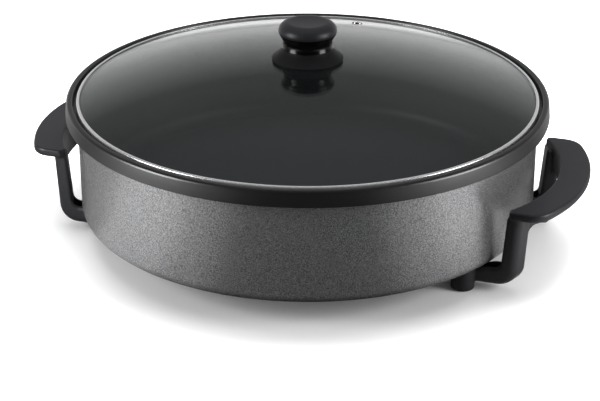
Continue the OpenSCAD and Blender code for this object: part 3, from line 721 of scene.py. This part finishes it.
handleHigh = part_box("handle_right")[1]
handle = {
    "reach": handleHigh.x, "plateTop": handleHigh.z, "plateThick": 7.5 * mm, "gripR": 133 * mm,
    "gripWide": 25.7 * mm, "gripHalf": 83.5 * mm, "outerCorner": 18 * mm, "tipCorner": 4.5 * mm,
    "topRound": 1.5 * mm, "lowRound": 3.2 * mm, "innerRound": 0.8 * mm,
    "apronThick": 4.5 * mm, "apronLow": 46.3 * mm, "bellyHalf": 24 * mm, "archTop": 55 * mm,
    "archR": 8 * mm, "lipThick": 0.6 * mm, "apronSweep": 44,        # degrees to each side
    "legSide": 81 * mm, "legWide": 17 * mm, "legIn": 208.6 * mm, "legThick": 11.5 * mm, "legLean": 3.5 * mm,
    "legRound": 3.0 * mm, "legSoft": 5.0 * mm, "legSharp": 50,      # degrees from which an edge is rounded
    "heelR": 15 * mm, "heelInner": 6.5 * mm,
    "armLow": 6.8 * mm, "armTop": 20 * mm, "armStep": 2.5 * mm, "armEnd": 175.2 * mm,
    "armRise": (189.25 * mm, 198.25 * mm),
    "pocketWall": 3 * mm, "pocketFloor": 5 * mm, "pocketIn": 186 * mm,
    "foot": (161.96 * mm, 79 * mm), "footR": 10 * mm, "footTop": 20.5 * mm, "footRound": 2 * mm,
    "recessR": 5.5 * mm, "recessDeep": 12.5 * mm,
    "sunk": 3 * mm,                 # how far the blanks run into each other
    "touch": 0.01 * mm,             # a point this close to a plane is on it
    "gripSteps": 30, "tipSteps": 8, "cornerSteps": 16, "archSteps": 8, "bellySteps": 14, "apronSteps": 64,
    "heelSteps": 10, "softSteps": 8, "roundSteps": 4, "footSides": 64,
    "voxel": 0.75 * mm, "softenShare": 0.5, "softening": 4,
}
handle["gripOut"] = handle["gripR"] + handle["gripWide"]
handle["gripX"] = handle["reach"] - handle["gripOut"]
handle["plateLow"] = handle["plateTop"] - handle["plateThick"]


def gripOutline(p):
    middle = Vector((p["gripX"], 0))
    outReach = p["gripOut"] - p["outerCorner"]
    outA = math.asin((p["gripHalf"] - p["outerCorner"]) / outReach)
    outC = middle + outReach * Vector((math.cos(outA), math.sin(outA)))
    tipReach = p["gripR"] + p["tipCorner"]
    tipA = math.asin((p["gripHalf"] - p["tipCorner"]) / tipReach)
    tipC = middle + tipReach * Vector((math.cos(tipA), math.sin(tipA)))
    half = (arcPoints(middle, p["gripR"], 0, tipA, p["gripSteps"])
            + arcPoints(tipC, p["tipCorner"], math.pi + tipA, math.pi / 2, p["tipSteps"])[1:]
            + arcPoints(outC, p["outerCorner"], math.pi / 2, outA, p["cornerSteps"])
            + arcPoints(middle, p["gripOut"], outA, 0, p["gripSteps"])[1:])
    return half + [Vector((q.x, -q.y)) for q in half[-2:0:-1]]


def makePlate(p):
    piece = drawnOut("gripPlate", [Vector((q.x, q.y, p["plateLow"])) for q in gripOutline(p)],
                     (0, 0, p["plateThick"]))
    innerSlack = 0.2 * mm           # the inner rim's points lie no further out than this
    for level, inner, offset in ((p["plateTop"], False, p["topRound"]),
                                 (p["plateLow"], False, p["lowRound"]),
                                 (p["plateTop"], True, p["innerRound"])):
        def onRim(edge):
            ends = [piece.data.vertices[i].co for i in edge.vertices]
            flat = all(abs(q.z - level) < p["touch"] for q in ends)
            reach = max(math.hypot(q.x - p["gripX"], q.y) for q in ends)
            return flat and (reach < p["gripR"] + innerSlack) == inner

        pick(piece, "EDGE", onRim)
        bpy.ops.mesh.bevel(offset=offset, segments=p["roundSteps"], affect="EDGES")
        bpy.ops.object.mode_set(mode="OBJECT")
    return piece


def archOutline(p):
    half = p["legSide"] - p["legWide"]
    cornerY = half - p["archR"]
    corner = arcPoints((cornerY, p["archTop"] - p["archR"]), p["archR"], 0, math.pi / 2, p["archSteps"])
    drop = easePoints((p["archTop"], cornerY), (p["apronLow"], p["bellyHalf"]), p["bellySteps"])
    belly = [Vector((y, z)) for z, y in drop]
    side = [Vector((half, -p["sunk"]))] + corner + belly[1:]
    return side + [Vector((-q.x, q.y)) for q in reversed(side)]


def makeApron(p):
    inner, outer = p["gripR"], p["gripR"] + p["apronThick"]
    low, top = p["apronLow"] - p["sunk"], p["plateLow"] + p["sunk"]
    section = [Vector(q) for q in ((inner, low), (outer, low), (outer, top), (inner, top))]
    sweep = p["apronSweep"]
    piece = swept("apron", section, p["gripX"], -sweep, sweep, p["apronSteps"])
    side = p["legSide"] - p["legWide"] / 2
    trimmed(piece, (0, side, 0), (0, 1, 0))
    trimmed(piece, (0, -side, 0), (0, -1, 0))
    opening = [Vector((p["gripX"], q.x, q.y)) for q in archOutline(p)]
    arch = drawnOut("arch", opening, (2 * p["gripR"], 0, 0))
    addModifier(piece, "BOOLEAN", operation="DIFFERENCE", object=arch)
    bpy.data.objects.remove(arch)
    # the lower edge slants up to the outside from a thin lip
    lip, past = inner + p["lipThick"], outer + p["sunk"]
    wedge = ((lip, p["apronLow"]), (lip, low), (past, low), (past, p["apronLow"] + past - lip))
    scoop = swept("scoop", [Vector(q) for q in wedge], p["gripX"], -sweep, sweep, p["apronSteps"])
    addModifier(piece, "BOOLEAN", operation="DIFFERENCE", object=scoop)
    bpy.data.objects.remove(scoop)
    return piece


def makeLeg(p, side):
    top = p["plateLow"] + p["sunk"]
    legOut = p["legIn"] + p["legThick"]
    stepZ = p["armTop"] + p["armStep"]
    riseFrom, riseTo = p["armRise"]
    far = p["legSide"]
    near = far - p["legWide"]
    section = filleted([
        (p["armEnd"], p["armLow"], 0), (legOut, p["armLow"], p["heelR"]), (legOut + p["legLean"], top, 0),
        (p["legIn"] + p["legLean"], top, 0), (p["legIn"], stepZ, p["heelInner"]), (riseTo, stepZ, 0),
        (riseFrom, p["armTop"], 0), (p["armEnd"], p["armTop"], 0)], closed=True, arcSteps=p["heelSteps"])

    def across(reach, y):
        return math.sqrt(reach ** 2 - y ** 2)

    outline = [Vector((across(q.x, near), side * near, q.y)) for q in section]
    slant = across(p["legIn"], far) - across(p["legIn"], near)
    piece = drawnOut("leg", outline, (slant, side * p["legWide"], 0))

    pastInner = p["legIn"] + p["legLean"] + 2 * mm      # beyond the leg's inner side
    underArm = p["armTop"] - 0.5 * mm

    def outerEdge(edge):
        ends = [piece.data.vertices[i].co for i in edge.vertices]
        onSide = all(abs(abs(q.y) - far) < p["touch"] for q in ends)
        return onSide and all(q.z < underArm or math.hypot(q.x, q.y) > pastInner for q in ends)

    pick(piece, "EDGE", outerEdge)
    bpy.ops.mesh.bevel(offset=p["legSoft"], segments=p["softSteps"], affect="EDGES")
    bpy.ops.object.mode_set(mode="OBJECT")
    addModifier(piece, "BEVEL", width=p["legRound"], segments=p["roundSteps"], limit_method="ANGLE",
                angle_limit=math.radians(p["legSharp"]), use_clamp_overlap=False)
    # the arm is cored out from above
    nearWall, farWall = near + p["pocketWall"], far - p["pocketWall"]
    ways = ((p["pocketIn"], nearWall), (p["legIn"], nearWall),
            (p["legIn"], farWall), (p["pocketIn"], farWall))
    floorZ = p["armLow"] + p["pocketFloor"]
    core = drawnOut("core", [Vector((across(r, y), side * y, floorZ)) for r, y in ways],
                    (0, 0, stepZ + p["sunk"] - floorZ))
    addModifier(piece, "BOOLEAN", operation="DIFFERENCE", object=core)
    bpy.data.objects.remove(core)
    return piece


def makeFoot(p, side):
    x, y = p["foot"]
    bpy.ops.mesh.primitive_cylinder_add(vertices=p["footSides"], radius=p["footR"], depth=p["footTop"],
                                        location=(x, side * y, p["footTop"] / 2))
    piece = bpy.context.object
    settle(piece)
    downward = -0.98                # a face with a normal under this looks straight down
    pick(piece, "FACE", lambda face: face.normal.z < downward)
    bpy.ops.mesh.bevel(offset=p["footRound"], segments=p["roundSteps"], affect="EDGES")
    bpy.ops.object.mode_set(mode="OBJECT")
    pick(piece, "FACE", lambda face: face.normal.z < downward and face.area > p["recessR"] ** 2)
    bpy.ops.mesh.inset(thickness=p["footR"] - p["footRound"] - p["recessR"])
    bpy.ops.mesh.extrude_region_move(TRANSFORM_OT_translate={"value": (0, 0, p["recessDeep"])})
    tidyMesh()
    return piece


def makeHandles(p):
    blanks = [makePlate(p), makeApron(p)]
    for side in (1, -1):
        blanks += [makeLeg(p, side), makeFoot(p, side)]
    only(*blanks)
    bpy.ops.object.join()
    right = bpy.context.object
    right.name = right.data.name = "handleRight"
    addModifier(right, "REMESH", mode="VOXEL", voxel_size=p["voxel"])
    addModifier(right, "SMOOTH", factor=p["softenShare"], iterations=p["softening"])
    right.data.materials.clear()
    right.data.materials.append(mouldedBlack)
    only(right)
    bpy.ops.object.shade_smooth()
    bpy.ops.object.duplicate()
    left = bpy.context.object
    left.name = left.data.name = "handleLeft"
    left.rotation_euler = (0, 0, math.pi)
    settle(left)
    dress(right, "base", "handle_right")
    dress(left, "base", "handle_left")
    print("faces in a handle:", len(right.data.polygons))


makeHandles(handle)
print("handles moulded")


# the nodes that stay as they are get their finish

nodeFinish = {
    "element_channel": castAluminium, "heating_element": oxideSheath, "terminal_pins": zincPlate,
    "terminal_insulators": whiteCeramic, "earth_strips": earthBrass, "probe_sleeve": castAluminium,
    "inlet_shroud": mouldedBlack, "inlet_screws": zincPlate, "handle_screws": zincPlate,
    "handle_washers": zincPlate, "heat_spacers": spacerBoard, "knob_insert": earthBrass,
    "knob_gasket": softGasket, "under_gasket": softGasket, "knob_washer": zincPlate, "knob_screw": zincPlate,
}
for name, material in nodeFinish.items():
    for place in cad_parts[name].material_slots:
        place.material = material
print("nodes finished:", len(nodeFinish))
